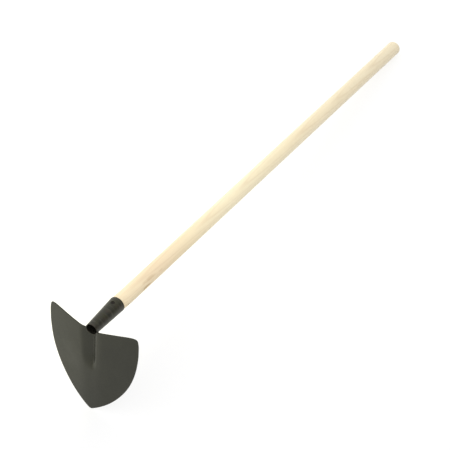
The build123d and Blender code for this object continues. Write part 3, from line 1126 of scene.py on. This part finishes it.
def build_weld():
    spots = [weld_spot(4.0, 0.0, 1.2), weld_spot(6.0, SHEET, -0.2), weld_spot(13.0, SHEET, 0.45)]
    spots += [weld_spot(24.0 + 132.0 * i / 11, SHEET, WELD_OUT) for i in range(12)]
    spots += [weld_spot(167.0, SHEET, 0.45), weld_spot(174.0, SHEET, -0.2), weld_spot(176.0, 0.0, 1.2)]
    # Catmull-Rom through the spots, then even steps
    dense = []
    for i in range(len(spots) - 1):
        p0, p1, p2, p3 = spots[max(i - 1, 0)], spots[i], spots[i + 1], spots[min(i + 2, len(spots) - 1)]
        for k in range(12):
            t = k / 12
            dense.append(p1 + 0.5 * t * (p2 - p0 + t * (2 * p0 - 5 * p1 + 4 * p2 - p3 + t * (3 * (p1 - p2) + p3 - p0))))
    dense.append(spots[-1])
    run = [0.0]
    for p, q in zip(dense, dense[1:]):
        run.append(run[-1] + (q - p).length)
    steps = int(run[-1] / 0.3)
    path = []
    k = 0
    for i in range(steps + 1):
        want = run[-1] * i / steps
        while k < len(run) - 2 and run[k + 1] < want:
            k += 1
        w = (want - run[k]) / (run[k + 1] - run[k])
        path.append(dense[k].lerp(dense[k + 1], w))
    g = Grid()
    seg = 28
    centre = Vector((TUBE_X, 0.0, 4.0))
    rings = []
    n = len(path)

    def ring_at(p, t, radius, shift, wave):
        out = p - centre
        out = (out - t * out.dot(t)).normalized()
        side_ = t.cross(out)
        ids = []
        for k in range(seg):
            a = 2 * math.pi * k / seg
            r = radius * (1 + wave * math.cos(a) * 0.5)
            q = p + out * (r * math.cos(a)) + side_ * (r * math.sin(a)) + t * (shift + 0.25 * radius * wave * math.cos(a))
            # it bites into the wall of the socket without coming through
            cx = TUBE_X - TILT * q.z
            reach, least = math.hypot(q.x - cx, q.y), outer_r(q.z) - 0.7
            if reach < least:
                q.x, q.y = cx + (q.x - cx) * least / reach, q.y * least / reach
            ids.append(g.add(at(q.x, q.y, q.z)))
        return ids

    def tangent(i):
        return (path[min(i + 1, n - 1)] - path[max(i - 1, 0)]).normalized()

    def end_r(s_):
        """The bead thins towards its two ends."""
        t_ = min(s_, run[-1] - s_) / 6.0
        t_ = min(max(t_, 0.0), 1.0)
        return WELD_R * (0.55 + 0.45 * t_ * t_ * (3 - 2 * t_))

    # rounded start
    t = tangent(0)
    tip = path[0] - t * end_r(0.0) * 0.8
    first = g.add(at(tip.x, tip.y, tip.z))
    rings.append([first] * seg)
    for q in (3, 2, 1):
        phi = math.pi / 2 * q / 4
        rings.append(ring_at(path[0], t, end_r(0.0) * math.cos(phi), -end_r(0.0) * 0.8 * math.sin(phi), 0.0))
    for i, p in enumerate(path):
        s_ = run[-1] * i / (n - 1)
        # solidified ripples, a little uneven, and a slow swelling
        beat = s_ / 1.45 + 0.23 * math.sin(0.9 * s_) + 0.11 * math.sin(2.3 * s_ + 1.0)
        saw = beat - math.floor(beat)
        ripple = 0.085 * (math.sin(math.pi * saw) ** 0.7) - 0.04
        swell = 0.05 * math.sin(0.31 * s_ + 0.6) + 0.035 * math.sin(0.77 * s_ + 2.0)
        rings.append(ring_at(p, tangent(i), end_r(s_) * (1 + ripple + swell), 0.0, 0.05 * math.sin(1.7 * s_)))
    t = tangent(n - 1)
    for q in (1, 2, 3):
        phi = math.pi / 2 * q / 4
        rings.append(ring_at(path[-1], t, end_r(0.0) * math.cos(phi), end_r(0.0) * 0.8 * math.sin(phi), 0.0))
    tip = path[-1] + t * end_r(0.0) * 0.8
    last = g.add(at(tip.x, tip.y, tip.z))
    rings.append([last] * seg)
    for one, two in zip(rings, rings[1:]):
        g.strip(one, two)
    return mesh_piece("weld_ripples", g.points, g.faces, weld_paint.mat, None, "weld_bead")


weld = build_weld()

for name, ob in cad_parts.items():
    mat = {"fixing_screw": screw_steel.mat}.get(name)
    if mat:
        for slot_ in ob.material_slots:
            slot_.material = mat
        # join the corners that its facets share
        weld_corners = ob.modifiers.new("weld_corners", "WELD")
        weld_corners.merge_threshold = 0.0000005

# ---------------------------------------------------------------------------
# Floor and light
# ---------------------------------------------------------------------------
bm = bmesh.new()
bmesh.ops.create_grid(bm, x_segments=8, y_segments=8, size=30.0)
me = bpy.data.meshes.new("floor")
bm.to_mesh(me)
bm.free()
floor = bpy.data.objects.new("floor", me)
scene.collection.objects.link(floor)
fm = Nodes("floor_glow")
fm.set("Base Color", (0.22, 0.22, 0.22, 1))
fm.set("Roughness", 0.9)
fm.set("Specular IOR Level", 0.0)
# painted light: the floor glows, with a brighter, warmer pool of light on the -x side fading to grey on the +x side,
# which the blade mirrors
where = fm.put("ShaderNodeSeparateXYZ", _0=fm.coord)
patch = fm.math("MULTIPLY_ADD", where.outputs["X"], 1.0, 0.5)
fm.set("Emission Color", fm.ramp(patch, (0.34, (0.99, 0.98, 0.86)), (0.54, (0.70, 0.70, 0.70)), smooth=True))
fm.set("Emission Strength", 1.1)
me.materials.append(fm.mat)

# A white studio tent: brightest overhead, with broad soft panels in front and
# behind on the left, and little on the right.
PANELS = [
    # azimuth from +Y towards +X, elevation, spread (power), strength
    (0, 90, 1, 0.456), (0, 90, 2, 0.798), (180, 25, 2, 1.164), (315, 25, 2, 0.50), (270, 5, 2, 0.16),
    (45, 40, 10, 0.21), (312, 4, 9, 0.34),
]

# plain backdrop beyond the floor, seen but not lighting anything
bm = bmesh.new()
wall = []
for k in range(64):
    a_ = 2 * math.pi * k / 64
    wall.append([bm.verts.new((28 * math.sin(a_), 28 * math.cos(a_), z_)) for z_ in (-0.5, 6.0, 14.0, 22.0)])
for one, two in zip(wall, wall[1:] + wall[:1]):
    for k in range(3):
        bm.faces.new((one[k], one[k + 1], two[k + 1], two[k]))
me = bpy.data.meshes.new("backdrop")
bm.to_mesh(me)
bm.free()
backdrop = bpy.data.objects.new("backdrop", me)
scene.collection.objects.link(backdrop)
bd = Nodes("backdrop_white")
bd.set("Base Color", (0.0, 0.0, 0.0, 1))
bd.set("Specular IOR Level", 0.0)
bd.set("Roughness", 1.0)
bd.set("Emission Color", (1, 1, 1, 1))
bd.set("Emission Strength", 1.0)
me.materials.append(bd.mat)
backdrop.visible_diffuse = False
backdrop.visible_glossy = False
backdrop.visible_transmission = False
backdrop.visible_shadow = False

world = bpy.data.worlds.new("world")
scene.world = world
world.use_nodes = True
wt = world.node_tree
sky = wt.nodes["Background"]
sky.inputs[0].default_value = (1, 1, 1, 1)
direction = wt.nodes.new("ShaderNodeTexCoord").outputs["Generated"]


def wmath(op, a, b=0.0, clamp=False):
    node = wt.nodes.new("ShaderNodeMath")
    node.operation = op
    node.use_clamp = clamp
    for i, v in enumerate((a, b)):
        if isinstance(v, bpy.types.NodeSocket):
            wt.links.new(v, node.inputs[i])
        else:
            node.inputs[i].default_value = v
    return node.outputs[0]


def panel(towards, spread, strength):
    dot = wt.nodes.new("ShaderNodeVectorMath")
    dot.operation = "DOT_PRODUCT"
    wt.links.new(direction, dot.inputs[0])
    dot.inputs[1].default_value = towards
    facing = wmath("MAXIMUM", dot.outputs["Value"], 0.0)
    if spread != 1:
        facing = wmath("POWER", facing, float(spread))
    return wmath("MULTIPLY", facing, strength)


glow = None
for azimuth, elevation, spread, strength in PANELS:
    az, el = math.radians(azimuth), math.radians(elevation)
    towards = (math.sin(az) * math.cos(el), math.cos(az) * math.cos(el), math.sin(el))
    one = panel(towards, spread, strength)
    glow = one if glow is None else wmath("ADD", glow, one)
wt.links.new(glow, sky.inputs[1])

scene.view_settings.view_transform = "Standard"
